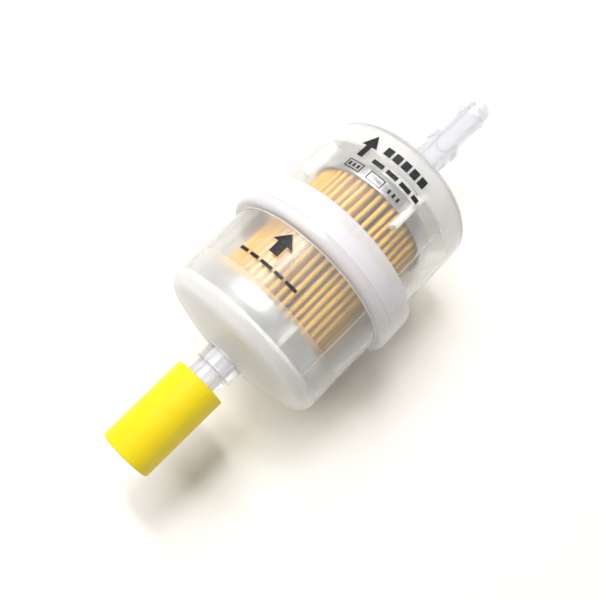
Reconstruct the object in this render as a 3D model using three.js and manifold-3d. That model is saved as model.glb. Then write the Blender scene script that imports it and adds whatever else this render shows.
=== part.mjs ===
// In-line fuel filter, modelled as an assembly of its separate pieces, in millimetres, +Z up.
// The flow axis is X: fuel enters at the capped spigot (-X) and leaves at the bare spigot (+X).
// The origin is on the flow axis, in the middle of the weld band that joins the two housing bowls.
// It lies on its side, so it rests on the weld band, one band radius below the origin.
import * as THREE from "three";
import { mergeVertices } from "three/addons/utils/BufferGeometryUtils.js";
import Module from "manifold-3d";

const wasm = await Module();
wasm.setup();

// ---- Driving dimensions ----

// Clearances
const fitGap = 0.3; // between a piece and its neighbour round a shared axis
const flowGap = 3.45; // open ring between the element's end caps and the bowl wall

// Housing
const bowlRadius = 24.05; // outside of the inlet bowl where its end corner begins
const outletStep = 0.2; // how much narrower the outlet bowl is there
const inletDraft = 0.5; // how much wider the inlet bowl is at its mouth
const outletDraft = 0.1; // how much wider the outlet bowl is at the weld band
const bowlWall = 1.55;
const inletDepth = 36.2; // middle of the inlet bowl's end, from the band's middle
const outletDepth = 31.8; // middle of the outlet bowl's end, from the band's middle
const inletDome = 75; // radius of the domed end of the inlet bowl
const outletDome = 300; // radius of the almost flat end of the outlet bowl
const inletCorner = 5; // outer corner radii of the two ends
const outletCorner = 1.9;
const leastRound = 0.2; // smallest rounding inside a corner

// Weld band, on the outlet bowl, and the flange and tongue of the inlet bowl that it takes
const bandWidth = 7.3;
const bandRim = 0.8; // band's wall outside the pocket of the weld
const bandEdge = 0.45; // chamfer of the band's edges
const flangeWidth = 3.05;
const flangeRound = 1.8; // rounding of the flange's edge
const jointGroove = 0.3; // chamfer of the flange at the joint line
const tongueWall = 1.3;
const tongueReach = 0.95; // how far the tongue passes the band's middle
const weldWidth = 0.4;
const weldHeight = 0.8;
const weldLip = 0.3; // wall between the tongue's socket and the pocket of the weld
const ribThickness = 1.2; // centring ribs in both bowls
const ribCount = 4;
const ribAngle = 122; // first rib, in degrees from +Y towards +Z
const inletRibLap = 4.5; // how far the inlet bowl's ribs reach along the element
const outletRibLap = 9.9; // how far the outlet bowl's ribs do
const ribFoot = 2.5; // how far they reach past the element's end
const ribLedge = 2; // how far the inlet bowl's ribs reach in under the element

// Spigots: an 8 mm hose end on a wider stem
const hoseRadius = 4;
const spigotWall = 1.4;
const stemRise = 0.65; // stem's outside above the hose end's
const beadRise = 1.2; // rounded bead at the end of the stem
const barbRise = 0.45;
const bossRise = 1.5; // root boss
const bossLength = 4.2;
const inletStem = 9;
const outletStem = 17.6;
const stemFlare = 0.42; // share of the stem that widens to the bead
const beadLength = 3; // from the bead's shoulder back to the flare
const beadShare = 0.8; // most of the widening stretch that the bead may take
const beadRound = 0.9; // how far the bead's edge is rounded
const hoseEnd = 17; // length of the hose end, past the bead
const barbFromTip = 4.7;
const barbRamp = 1.8; // length of the barb's two slopes
const tipTaper = 0.6; // how much narrower the very end is

// Filter element
const sumpDepth = 7.85; // open height between the inlet bowl's end and the element
const headSpace = 8.3; // open height between the element and the outlet bowl's end
const sheet = 0.5; // sheet metal of the end caps and the support tube
const endCapRim = 5.1; // height of the end caps, outside
const pottingHeight = 1.2;
const pleatCount = 50;
const paperSheet = 0.45;
const crestOpen = 0.768; // what stays open between two folds at the outside of the pack
const grooveWidth = 0.24; // what stays open between two pleats at their roots
const foldFill = 0.45; // most of the root pitch that half an inner fold may take
const clipDepth = 1.6; // how far the seam clip reaches down its pleat
const clipWall = 0.25;
const clipGap = 0.15; // between the seam clip and its pleat

// Outlet seal and support tube
const nozzleWall = 2; // wall of the outlet bowl's inner nozzle
const nozzleReach = 3.1; // how far the nozzle reaches into the element
const sealWall = 1.8;
const sealSleeve = 3.4; // length of the seal inside the end cap's neck
const sealFlange = 2; // thickness of the seal's flange
const sealFlangeRise = 2.3; // flange's outside above the sleeve's
const neckLength = 3;
const tubeSlack = 0.7; // ring between the end cap's neck and the support tube
const holeRadius = 1.2; // perforations of the support tube
const holeRows = 6;
const holesRound = 8;

// Transit cap
const capOverlap = 21.9; // how far the spigot's end is inside the open rim
const capEndSpace = 1.1; // from the spigot's end to the cap's floor
const capFloor = 1.5;
const capWall = 1.3;
const capTaper = 0.2; // how much narrower the closed end is
const capEdge = 0.5; // rounding of the cap's edges
const capRibHeight = 0.6;
const capRibThickness = 0.9;
const capRibCount = 6;
const capRibInset = 2; // from the ribs' ends to the cap's rim and floor
const gateRadius = 0.8; // moulding gate on the closed end
const gateHeight = 0.4;

// Facets round the axis
const bodyFacets = 36;
const elementFacets = 36;
const capFacets = 32;
const sealFacets = 24;
const holeFacets = 8;
const arcSteps = 4;
const domeSteps = 3;

// ---- Sizes that follow ----

const inletRadius = bowlRadius;
const outletRadius = bowlRadius - outletStep;
const inletInner = inletRadius - bowlWall;
const outletInner = outletRadius - bowlWall;
const mouthRadius = inletRadius + inletDraft;
const tongueRadius = mouthRadius;
const tongueInner = tongueRadius - tongueWall;
const socketRadius = tongueRadius + fitGap;
const pocketInner = socketRadius + weldLip;
const weldInner = pocketInner + fitGap;
const weldOuter = weldInner + weldWidth;
const pocketOuter = weldOuter + fitGap;
const bandRadius = pocketOuter + bandRim;
const bandHalf = bandWidth / 2;
const flangeFace = bandRadius - mouthRadius - jointGroove;
const flangeCorner = Math.min(flangeRound, flangeWidth - 2 * jointGroove, flangeFace);
const boreRadius = hoseRadius - spigotWall;
const stemRadius = hoseRadius + stemRise;
const beadRadius = hoseRadius + beadRise;
const bossRadius = hoseRadius + bossRise;
const nozzleRadius = boreRadius + nozzleWall;
const sealInner = nozzleRadius + fitGap;
const sealOuter = sealInner + sealWall;
const neckInner = sealOuter + fitGap;
const neckOuter = neckInner + sheet;
const tubeInner = neckOuter + tubeSlack;
const tubeOuter = tubeInner + sheet;
const endCapRadius = Math.min(inletInner, outletInner) - flowGap;
const paperRadius = endCapRadius - sheet - fitGap;
const paperRoot = tubeOuter + fitGap;
const elementStart = bowlWall + sumpDepth - inletDepth;
const elementEnd = outletDepth - bowlWall - headSpace;
const pottingStart = elementStart + sheet;
const pottingEnd = elementEnd - sheet;
const paperStart = pottingStart + pottingHeight;
const paperEnd = pottingEnd - pottingHeight;
const paperLength = paperEnd - paperStart;
const pleatPitch = (2 * Math.PI) / pleatCount;
const crestWidth = paperRadius * pleatPitch - crestOpen; // width of a fold at the outside
const inletBossEnd = inletDepth + bossLength;
const inletTip = inletBossEnd + inletStem + hoseEnd;
const capRim = capOverlap - inletTip;
const capInside = -inletTip - capEndSpace;
const capBore = beadRadius + fitGap + capRibHeight;
const capRadius = capBore + capWall;

// ---- Materials ----

const clearNylon = () =>
  new THREE.MeshStandardMaterial({
    color: 0xe6e8ec,
    roughness: 0.25,
    metalness: 0,
    transparent: true,
    opacity: 0.45,
  });
const plain = (color, roughness, metalness) => () =>
  new THREE.MeshStandardMaterial({ color, roughness, metalness });
const filterPaper = plain(0xc79c5e, 0.9, 0);
const tinplate = plain(0xa3a8ae, 0.35, 0.9);
const pottingResin = plain(0xd9d2bd, 0.6, 0);
const sealRubber = plain(0x22252a, 0.8, 0);
const yellowPolythene = plain(0xf6de2c, 0.5, 0);

// ---- Shape helpers ----

const radians = THREE.MathUtils.degToRad;

// Points of an arc in the profile plane, from one angle to another, in degrees from +X.
function arc(centreX, centreR, radius, from, to, steps = arcSteps) {
  const points = [];
  for (let i = 0; i <= steps; i++) {
    const angle = radians(from + ((to - from) * i) / steps);
    points.push([centreX + radius * Math.cos(angle), centreR + radius * Math.sin(angle)]);
  }
  return points;
}

// A solid of revolution about X. Its profile is a list of [x, radius], outside first, towards +X.
function turned(profile, facets) {
  const closed = profile[0][1] === 0 ? profile : [...profile, profile[0]];
  const points = closed.map(([x, r]) => new THREE.Vector2(r, x));
  return new THREE.LatheGeometry(points, facets).rotateZ(-Math.PI / 2);
}

// A point in the plane across X, at an angle from +Y towards +Z, as an extruded shape takes it.
function across(radius, angle) {
  return new THREE.Vector2(-radius * Math.sin(angle), radius * Math.cos(angle));
}

// A prism along X over a shape drawn across it.
function prism(shape, start, length) {
  const geometry = new THREE.ExtrudeGeometry(shape, { depth: length, bevelEnabled: false });
  return geometry.rotateY(Math.PI / 2).translate(start, 0, 0);
}

// A block between two x and two radii, at an angle round the axis in degrees from +Y towards +Z.
function fin(startX, endX, innerR, outerR, thickness, degrees) {
  const block = new THREE.BoxGeometry(endX - startX, outerR - innerR, thickness);
  return block.translate((startX + endX) / 2, (innerR + outerR) / 2, 0).rotateX(radians(degrees));
}

function around(count, first = 0) {
  return Array.from({ length: count }, (_, i) => first + (360 * i) / count);
}

function solidOf(geometry) {
  const bare = geometry.clone();
  bare.deleteAttribute("normal");
  bare.deleteAttribute("uv");
  const merged = mergeVertices(bare, 1e-4);
  const corners = merged.index.array;
  const kept = [];
  for (let i = 0; i < corners.length; i += 3) {
    const [a, b, c] = corners.slice(i, i + 3);
    if (a !== b && b !== c && c !== a) kept.push(a, b, c);
  }
  const mesh = new wasm.Mesh({
    numProp: 3,
    vertProperties: merged.attributes.position.array,
    triVerts: new Uint32Array(kept),
  });
  return new wasm.Manifold(mesh);
}

function geometryOf(solid) {
  const mesh = solid.getMesh();
  const geometry = new THREE.BufferGeometry();
  geometry.setAttribute("position", new THREE.BufferAttribute(mesh.vertProperties, 3));
  geometry.setIndex(new THREE.BufferAttribute(mesh.triVerts, 1));
  return geometry;
}

function joined(body, additions) {
  return geometryOf(additions.reduce((sum, piece) => sum.add(solidOf(piece)), solidOf(body)));
}

function pierced(body, tools) {
  return geometryOf(tools.reduce((rest, tool) => rest.subtract(solidOf(tool)), solidOf(body)));
}

// ---- Housing ----

// A bowl's end: a dome that meets the wall in a round corner, from a radius out to the wall.
// The dome's middle is at depth along +X.
function bowlEnd(fromRadius, wallRadius, depth, dome, corner) {
  const domeCentre = depth - dome;
  const cornerRadius = wallRadius - corner;
  const reach = Math.sqrt((dome - corner) ** 2 - cornerRadius ** 2);
  const meet = THREE.MathUtils.radToDeg(Math.atan2(cornerRadius, reach));
  const first = THREE.MathUtils.radToDeg(Math.asin(fromRadius / dome));
  return [
    ...arc(domeCentre, 0, dome, first, meet, domeSteps).slice(0, -1),
    ...arc(domeCentre + reach, cornerRadius, corner, meet, 90),
  ];
}

// The inside of the same end, one wall further in.
function bowlInside(fromRadius, wallRadius, depth, dome, corner) {
  const innerCorner = Math.max(corner - bowlWall, leastRound);
  return bowlEnd(fromRadius, wallRadius - bowlWall, depth - bowlWall, dome - bowlWall, innerCorner);
}

// The outside of a spigot, from its tip back to the bowl's end, measured along +X from the root.
function spigot(bossEnd, stemLength) {
  const stemEnd = bossEnd + stemLength;
  const tip = stemEnd + hoseEnd;
  const barb = tip - barbFromTip;
  const flare = stemFlare * stemLength;
  const bead = Math.min(beadLength, beadShare * flare);
  const edge = beadRound / 3;
  return [
    [tip, boreRadius],
    [tip, hoseRadius - tipTaper],
    [barb + barbRamp, hoseRadius],
    [barb, hoseRadius + barbRise],
    [barb - barbRamp, hoseRadius],
    [stemEnd, hoseRadius],
    [stemEnd - edge, beadRadius - edge],
    [stemEnd - beadRound, beadRadius],
    [stemEnd - bead, beadRadius],
    [stemEnd - flare, stemRadius],
    [bossEnd, stemRadius],
    [bossEnd, bossRadius],
  ];
}

function mirrored(points) {
  return points.map(([x, r]) => [-x, r]);
}

function inletBowl() {
  const end = bowlEnd(bossRadius, inletRadius, inletDepth, inletDome, inletCorner);
  const inside = bowlInside(boreRadius, inletRadius, inletDepth, inletDome, inletCorner);
  const flangeStart = -bandHalf - flangeWidth;
  const body = turned(
    [
      ...mirrored([...spigot(inletBossEnd, inletStem), ...end]),
      [flangeStart, mouthRadius],
      ...arc(flangeStart + flangeCorner, bandRadius - flangeCorner, flangeCorner, 180, 90),
      [-bandHalf - jointGroove, bandRadius],
      [-bandHalf, bandRadius - jointGroove],
      [-bandHalf, tongueRadius],
      [tongueReach, tongueRadius],
      [tongueReach, tongueInner],
      [flangeStart, tongueInner],
      ...mirrored(inside).toReversed(),
    ],
    bodyFacets,
  );
  const foot = elementStart - ribFoot;
  const ribBack = inletInner + bowlWall / 2;
  const ledge = endCapRadius - ribLedge;
  const ribs = around(ribCount, ribAngle).flatMap((angle) => [
    fin(foot, elementStart + inletRibLap, endCapRadius + fitGap, ribBack, ribThickness, angle),
    fin(foot, elementStart - fitGap, ledge, ribBack, ribThickness, angle),
  ]);
  return joined(body, ribs);
}

function outletBowl() {
  const end = bowlEnd(bossRadius, outletRadius, outletDepth, outletDome, outletCorner);
  const nozzleBoss = sealOuter + sealFlangeRise - fitGap;
  const inside = bowlInside(nozzleBoss, outletRadius, outletDepth, outletDome, outletCorner);
  const nozzleTip = elementEnd - nozzleReach;
  const sealFace = elementEnd + sealFlange;
  const wallStart = outletRadius + outletDraft;
  const pocketDepth = weldHeight + fitGap;
  const body = turned(
    [
      [-bandHalf, socketRadius],
      [-bandHalf, pocketInner],
      [pocketDepth - bandHalf, pocketInner],
      [pocketDepth - bandHalf, pocketOuter],
      [-bandHalf, pocketOuter],
      [-bandHalf, bandRadius - bandEdge],
      [bandEdge - bandHalf, bandRadius],
      [bandHalf - bandEdge, bandRadius],
      [bandHalf, bandRadius - bandEdge],
      [bandHalf, wallStart + bandEdge],
      [bandHalf + bandEdge, wallStart],
      ...end.toReversed(),
      ...spigot(outletDepth + bossLength, outletStem).toReversed(),
      [nozzleTip, boreRadius],
      [nozzleTip, nozzleRadius],
      [sealFace, nozzleRadius],
      [sealFace, nozzleBoss],
      ...inside,
      [tongueReach + fitGap, outletInner + outletDraft],
      [tongueReach + fitGap, socketRadius],
    ],
    bodyFacets,
  );
  const ribStart = elementEnd - outletRibLap;
  const ribEnd = elementEnd + ribFoot;
  const ribBack = outletInner + bowlWall / 2;
  const ribs = around(ribCount, ribAngle).map((angle) =>
    fin(ribStart, ribEnd, endCapRadius + fitGap, ribBack, ribThickness, angle),
  );
  return joined(body, ribs);
}

// The melted ring that joins the inlet bowl's flange to the weld band.
function weldRing() {
  return turned(
    [
      [-bandHalf, weldInner],
      [-bandHalf, weldOuter],
      [weldHeight - bandHalf, weldOuter],
      [weldHeight - bandHalf, weldInner],
    ],
    bodyFacets,
  );
}

// ---- Filter element ----

// The closed end cap: a pressed cup that the paper's inlet end stands in.
function inletEndCap() {
  return turned(
    [
      [elementStart, 0],
      [elementStart, endCapRadius - sheet],
      [elementStart + sheet, endCapRadius],
      [elementStart + endCapRim, endCapRadius],
      [elementStart + endCapRim, endCapRadius - sheet],
      [pottingStart, endCapRadius - sheet],
      [pottingStart, 0],
    ],
    elementFacets,
  );
}

// The open end cap: a pressed cup with a neck turned inwards, which takes the outlet seal.
function outletEndCap() {
  return turned(
    [
      [pottingEnd, endCapRadius - sheet],
      [elementEnd - endCapRim, endCapRadius - sheet],
      [elementEnd - endCapRim, endCapRadius],
      [elementEnd - sheet, endCapRadius],
      [elementEnd, endCapRadius - sheet],
      [elementEnd, neckInner],
      [elementEnd - neckLength, neckInner],
      [elementEnd - neckLength, neckOuter],
      [pottingEnd, neckOuter],
    ],
    elementFacets,
  );
}

// Resin discs that bond the paper's ends into the end caps.
function inletPotting() {
  return turned(
    [
      [pottingStart, 0],
      [pottingStart, paperRadius],
      [paperStart, paperRadius],
      [paperStart, 0],
    ],
    elementFacets,
  );
}

function outletPotting() {
  return turned(
    [
      [paperEnd, neckOuter + fitGap],
      [paperEnd, paperRadius],
      [pottingEnd, paperRadius],
      [pottingEnd, neckOuter + fitGap],
    ],
    elementFacets,
  );
}

// Two outlines of the folded sheet: its outer face, and its inner face one sheet further in.
function pleatedPaper() {
  const rootPitch = pleatPitch * paperRoot;
  const foldRadius = paperRoot + paperSheet;
  const shoulder = paperRadius - crestWidth / 3;
  const pocketTop = shoulder - paperSheet / 2;
  const pocket = crestWidth / 2 - paperSheet;
  const foldHalf = Math.min(grooveWidth / 2 + paperSheet, rootPitch * foldFill);
  const outer = [];
  const inner = [];
  for (let i = 0; i < pleatCount; i++) {
    const crest = i * pleatPitch;
    const groove = crest + pleatPitch / 2;
    outer.push(across(shoulder, crest - crestWidth / 2 / shoulder));
    outer.push(across(paperRadius, crest));
    outer.push(across(shoulder, crest + crestWidth / 2 / shoulder));
    outer.push(across(foldRadius, groove - grooveWidth / 2 / foldRadius));
    outer.push(across(foldRadius, groove + grooveWidth / 2 / foldRadius));
    inner.push(across(pocketTop, crest - pocket / pocketTop));
    inner.push(across(pocketTop, crest + pocket / pocketTop));
    inner.push(across(paperRoot, groove - foldHalf / paperRoot));
    inner.push(across(paperRoot, groove + foldHalf / paperRoot));
  }
  const shape = new THREE.Shape(outer);
  shape.holes.push(new THREE.Path(inner));
  return prism(shape, paperStart, paperLength);
}

// The pressed clip that closes the paper's seam, over the pleat that faces down.
function seamClip() {
  const halfGap = crestWidth / 2 + clipGap;
  const halfWidth = halfGap + clipWall;
  const inside = paperRadius + clipGap;
  const legs = inside - clipDepth;
  const outline = [
    [-halfWidth, legs],
    [-halfWidth, inside + clipWall],
    [halfWidth, inside + clipWall],
    [halfWidth, legs],
    [halfGap, legs],
    [halfGap, inside],
    [-halfGap, inside],
    [-halfGap, legs],
  ];
  const crest = Math.round((pleatCount * 3) / 4) * pleatPitch;
  const shape = new THREE.Shape(
    outline.map(([side, height]) => across(height, crest + side / height)),
  );
  const start = elementStart + endCapRim + fitGap;
  return prism(shape, start, elementEnd - endCapRim - fitGap - start);
}

// The perforated tube that keeps the paper from collapsing inwards.
function supportTube() {
  const wall = turned(
    [
      [paperStart, tubeInner],
      [paperStart, tubeOuter],
      [paperEnd, tubeOuter],
      [paperEnd, tubeInner],
    ],
    elementFacets,
  );
  const rowPitch = paperLength / (holeRows + 1);
  const drillLength = tubeOuter * 3;
  const drills = [];
  for (let row = 1; row <= holeRows; row++) {
    for (const degrees of around(holesRound).slice(0, holesRound / 2)) {
      const drill = new THREE.CylinderGeometry(holeRadius, holeRadius, drillLength, holeFacets);
      drill.rotateX(radians(degrees + (row % 2) * (180 / holesRound)));
      drills.push(drill.translate(paperStart + row * rowPitch, 0, 0));
    }
  }
  return pierced(wall, drills);
}

// The rubber bush between the outlet bowl's nozzle and the open end cap.
function outletSeal() {
  return turned(
    [
      [elementEnd - sealSleeve, sealInner],
      [elementEnd - sealSleeve, sealOuter],
      [elementEnd, sealOuter],
      [elementEnd, sealOuter + sealFlangeRise],
      [elementEnd + sealFlange, sealOuter + sealFlangeRise],
      [elementEnd + sealFlange, sealInner],
    ],
    sealFacets,
  );
}

// ---- Transit cap ----

// The yellow push-on cap over the inlet spigot, with grip ribs inside.
function transitCap() {
  const floor = capInside - capFloor;
  const body = turned(
    [
      [floor - gateHeight, 0],
      [floor - gateHeight, gateRadius],
      [floor, gateRadius],
      [floor, capRadius - capTaper - capEdge],
      [floor + capEdge, capRadius - capTaper],
      [capRim - capEdge, capRadius],
      [capRim, capRadius - capEdge],
      [capRim, capBore],
      [capInside, capBore],
      [capInside, 0],
    ],
    capFacets,
  );
  const ribStart = capInside + capRibInset;
  const ribEnd = capRim - capRibInset;
  const ribBack = capBore + capWall / 2;
  const ribs = around(capRibCount).map((angle) =>
    fin(ribStart, ribEnd, beadRadius + fitGap, ribBack, capRibThickness, angle),
  );
  return joined(body, ribs);
}

// ---- Assembly ----

const pieces = [
  ["inlet_bowl", inletBowl, clearNylon],
  ["outlet_bowl", outletBowl, clearNylon],
  ["weld_ring", weldRing, clearNylon],
  ["inlet_end_cap", inletEndCap, tinplate],
  ["outlet_end_cap", outletEndCap, tinplate],
  ["inlet_potting", inletPotting, pottingResin],
  ["outlet_potting", outletPotting, pottingResin],
  ["pleated_paper", pleatedPaper, filterPaper],
  ["seam_clip", seamClip, tinplate],
  ["support_tube", supportTube, tinplate],
  ["outlet_seal", outletSeal, sealRubber],
  ["transit_cap", transitCap, yellowPolythene],
];

const fuelFilter = new THREE.Group();
for (const [name, shapeOf, materialOf] of pieces) {
  const mesh = new THREE.Mesh(shapeOf(), materialOf());
  mesh.name = name;
  fuelFilter.add(mesh);
}

export default fuelFilter;
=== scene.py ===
"""In-line fuel filter: two clear nylon bowls welded round a pleated paper element, with a transit cap."""

import math
import random

import bmesh
import bpy
from mathutils import Matrix, Vector

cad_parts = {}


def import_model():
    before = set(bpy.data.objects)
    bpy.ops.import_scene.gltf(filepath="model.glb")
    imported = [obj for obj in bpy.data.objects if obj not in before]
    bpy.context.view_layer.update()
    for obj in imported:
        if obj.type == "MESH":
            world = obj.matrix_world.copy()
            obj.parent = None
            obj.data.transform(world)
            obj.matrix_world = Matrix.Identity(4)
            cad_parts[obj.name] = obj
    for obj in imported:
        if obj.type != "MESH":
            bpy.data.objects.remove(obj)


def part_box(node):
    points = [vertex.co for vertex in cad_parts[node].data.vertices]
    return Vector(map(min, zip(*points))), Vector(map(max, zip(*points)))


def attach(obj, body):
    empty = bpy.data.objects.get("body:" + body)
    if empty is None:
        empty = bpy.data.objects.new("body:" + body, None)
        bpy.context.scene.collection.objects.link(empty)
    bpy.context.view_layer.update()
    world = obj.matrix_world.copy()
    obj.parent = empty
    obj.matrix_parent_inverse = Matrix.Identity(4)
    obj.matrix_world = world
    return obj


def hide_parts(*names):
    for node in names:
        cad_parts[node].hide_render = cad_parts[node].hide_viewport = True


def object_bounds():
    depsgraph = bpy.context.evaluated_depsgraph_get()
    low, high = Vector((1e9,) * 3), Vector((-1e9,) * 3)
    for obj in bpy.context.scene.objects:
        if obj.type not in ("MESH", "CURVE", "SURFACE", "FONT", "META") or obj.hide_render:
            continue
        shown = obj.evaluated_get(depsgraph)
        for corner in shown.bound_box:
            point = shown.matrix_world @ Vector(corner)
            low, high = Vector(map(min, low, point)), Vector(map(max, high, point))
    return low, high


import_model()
cad_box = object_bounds()

MM = 0.001
draws = random.Random(11)

# ---- Sizes, in millimetres, along the flow axis X and outwards from it ----


def span(node):
    """Where a CAD node starts and ends along X, and its radius."""
    low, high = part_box(node)
    return low.x / MM, high.x / MM, high.y / MM


INLET_TIP, TONGUE_END, BAND_RADIUS = span("inlet_bowl")
BAND_START, OUTLET_TIP, _ = span("outlet_bowl")
WELD_START, WELD_END, WELD_RADIUS = span("weld_ring")
INLET_CAP_START, INLET_CAP_END, END_CAP_RADIUS = span("inlet_end_cap")
OUTLET_CAP_START, OUTLET_CAP_END, _ = span("outlet_end_cap")
INLET_POT_START, PAPER_START, POT_RADIUS = span("inlet_potting")
PAPER_END, OUTLET_POT_END, _ = span("outlet_potting")
PAPER_RADIUS = span("pleated_paper")[2]
TUBE_RADIUS = span("support_tube")[2]
SEAL_START, SEAL_END, SEAL_FLANGE = span("outlet_seal")
CAP_CLOSED_END, CAP_RIM, CAP_RADIUS = span("transit_cap")
CLIP_START, CLIP_END, _ = span("seam_clip")

FIT = 0.3
BAND_HALF = -BAND_START
WALL = 1.55
JOINT_CHAMFER = 0.1
JOINT_GAP = 0.02  # dark joint line between the flange and the band

INLET_RADIUS = 24.05
INLET_DRAFT = 0.5
INLET_DEPTH = 36.2
INLET_DOME = 75
INLET_CORNER = 5
OUTLET_RADIUS = 23.85
OUTLET_DRAFT = 0.1
OUTLET_DEPTH = 31.8
OUTLET_DOME = 300
OUTLET_CORNER = 1.9
HAZE_START = OUTLET_CAP_END + 0.4  # the bowls are hazier beyond their end caps
INLET_HAZE_END = INLET_CAP_END + 0.4
FLANGE_WIDTH = 3.05
TONGUE_WALL = 1.3

BORE = 2.6
HOSE = 4.0
BARB = 4.45
HOSE_TIP = 3.4
STEM = 4.65
BEAD = 5.2
BOSS = 5.5
HOSE_END = 17.0
BARB_FROM_TIP = 4.7
BARB_RAMP = 1.8
BEAD_LENGTH = 3.0
STEM_FLARE = 0.42
BOSS_LENGTH = 4.2
MOAT_WIDTH = 0.9  # shallow ring sunk round each spigot's root
MOAT_DEPTH = 0.4

NOZZLE = 4.6
NOZZLE_REACH = 3.1
NOZZLE_BOSS = 8.7
RIB_ANGLE = 122
RIB_COUNT = 4
RIB_WIDTH = 1.2
INLET_RIB_LAP = 4.5
OUTLET_RIB_LAP = 9.9
RIB_FOOT = 2.5
RIB_LEDGE = 2.0
RIB_SINK = 0.03  # hairline between a rib's back and the wall behind it
SPLIT_ANGLE = 145  # mould parting line, in degrees from +Y towards +Z
SPLIT_RISE = 0.07
SPLIT_SLACK = 0.2  # only points this near to the wall's radius, or outside it, are raised
INLET_SPLIT_START = -28
OUTLET_SPLIT_START = 5
OUTLET_SPLIT_END = 28.5

SHEET = 0.5
CAP_BEND = 1.8  # bend of the end caps' pressed edges
CAP_NECK = 7.5
NECK_LENGTH = 3.0
PLEATS = 50
PAPER_SHEET = 0.45
PAPER_ROOT = 9.0
GROOVE = 0.24
CREST_OPEN = 0.95
CLIPPED_CREST_OPEN = 0.768  # the clip keeps the CAD's width, a little wider than its fold
CLIP_GAP = 0.15
CLIP_WALL = 0.25
CLIP_DEPTH = 1.6

SEAL_SLEEVE = 6.7
PRINT_RADIUS = 24  # for turning a printed line's width into degrees

CAP_WALL = 1.3
CAP_FLOOR = 1.5
CAP_TAPER = 0.2
GATE_RADIUS = 0.8
GATE_HEIGHT = 0.4

ROUND_STEPS = 4
FACETS = 144

# ---- Mesh helpers ----


def arc(centre_x, centre_r, radius, start, end, steps):
    """Profile points on an arc, from one angle to another, in degrees from +X."""
    points = []
    for i in range(steps + 1):
        angle = math.radians(start + (end - start) * i / steps)
        points.append((centre_x + radius * math.cos(angle), centre_r + radius * math.sin(angle)))
    return points


def filleted(points, closed=True):
    """A profile whose points may carry a fillet radius as a third number, with each fillet as an arc."""
    made = []
    count = len(points)
    for i, point in enumerate(points):
        here = Vector(point[:2])
        fillet = point[2] if len(point) > 2 else 0
        ends = not closed and i in (0, count - 1)
        if not fillet or ends:
            made.append(tuple(here))
            continue
        before = Vector(points[i - 1][:2]) - here
        after = Vector(points[(i + 1) % count][:2]) - here
        half = before.angle(after) / 2
        reach = min(fillet / math.tan(half), 0.48 * before.length, 0.48 * after.length)
        start = here + before.normalized() * reach
        end = here + after.normalized() * reach
        for step in range(ROUND_STEPS + 1):
            t = step / ROUND_STEPS
            made.append(tuple(start * (1 - t) ** 2 + here * 2 * t * (1 - t) + end * t * t))
    return made


def finished(name, verts, faces, sharp=32):
    """A mesh object from points in millimetres, smooth but for edges sharper than an angle."""
    mesh = bpy.data.meshes.new(name)
    mesh.from_pydata([(x * MM, y * MM, z * MM) for x, y, z in verts], [], faces)
    work = bmesh.new()
    work.from_mesh(mesh)
    bmesh.ops.remove_doubles(work, verts=work.verts, dist=1e-7)
    bmesh.ops.recalc_face_normals(work, faces=work.faces)
    work.to_mesh(mesh)
    work.free()
    mesh.shade_smooth()
    mesh.set_sharp_from_angle(angle=math.radians(sharp))
    piece = bpy.data.objects.new(name, mesh)
    bpy.context.scene.collection.objects.link(piece)
    return piece


def ring_angles(extra=()):
    """Angles round the axis for a turned piece, in degrees, with a few added ones."""
    return sorted({360 * i / FACETS for i in range(FACETS)} | set(extra))


def turned_mesh(profile, angles=None, shift=None):
    """Points and faces of a profile turned about X. shift(x, r, degrees) may move a point's radius."""
    angles = angles or ring_angles()
    verts, faces, rows = [], [], []
    for x, r in profile:
        if r < 1e-6:
            rows.append([len(verts)] * len(angles))
            verts.append((x, 0, 0))
            continue
        rows.append(range(len(verts), len(verts) + len(angles)))
        for degrees in angles:
            moved = r + (shift(x, r, degrees) if shift else 0)
            a = math.radians(degrees)
            verts.append((x, moved * math.cos(a), moved * math.sin(a)))
    for i, row in enumerate(rows):
        after = rows[(i + 1) % len(rows)]
        for k in range(len(angles)):
            n = (k + 1) % len(angles)
            corners = list(dict.fromkeys((row[k], row[n], after[n], after[k])))
            if len(corners) > 2:
                faces.append(corners)
    return verts, faces


def joined(*meshes):
    """Several lists of points and faces as one."""
    verts, faces = [], []
    for more_verts, more_faces in meshes:
        faces += [[v + len(verts) for v in face] for face in more_faces]
        verts += more_verts
    return verts, faces


def rib_mesh(outline, width, degrees, edge=0.12):
    """A flat rib drawn as (x, r) in a plane through the axis, with rounded edges, at an angle round it."""
    work = bmesh.new()
    sides = [[work.verts.new((x, r, side)) for x, r in outline] for side in (-width / 2, width / 2)]
    for side in sides:
        work.faces.new(side)
    count = len(outline)
    for k in range(count):
        n = (k + 1) % count
        work.faces.new([sides[0][k], sides[0][n], sides[1][n], sides[1][k]])
    bmesh.ops.recalc_face_normals(work, faces=work.faces)
    bmesh.ops.bevel(work, geom=list(work.edges), offset=edge, segments=2, profile=0.6, affect="EDGES")
    turn = Matrix.Rotation(math.radians(degrees), 3, "X")
    work.verts.index_update()
    verts = [tuple(turn @ v.co) for v in work.verts]
    faces = [[v.index for v in face.verts] for face in work.faces]
    work.free()
    return verts, faces


def block(start, end, inner, outer):
    return [(start, inner), (end, inner), (end, outer), (start, outer)]


def around(count, first=0.0):
    return [first + 360 * i / count for i in range(count)]


# ---- Materials ----


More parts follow.
